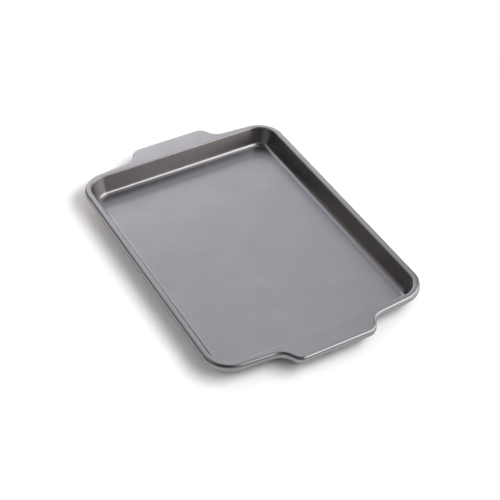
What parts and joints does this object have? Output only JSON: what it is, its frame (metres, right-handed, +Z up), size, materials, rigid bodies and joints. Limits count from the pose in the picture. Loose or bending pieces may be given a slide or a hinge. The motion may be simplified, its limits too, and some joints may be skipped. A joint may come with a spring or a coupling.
{
  "type": "cookie sheet",
  "caption": "Shallow rectangular baking pan with sloping walls, a level lip, a rolled rim and a flat lifting tab at each end, for baking biscuits and pastry.",
  "frame": {"origin": "centre of the pan, on the surface that its floor stands on", "axes": "+X along the pan from tab to tab, +Y across it, +Z up out of the open well"},
  "size_m": [0.388, 0.254, 0.0218],
  "materials": {
    "nonstick_steel": "satin metallic grey non-stick coating on sheet steel",
    "steel_wire": "bare drawn steel wire"
  },
  "bodies": {
    "root": {"pan_body": "nonstick_steel", "rim_wire": "steel_wire"}
  },
  "joints": []
}
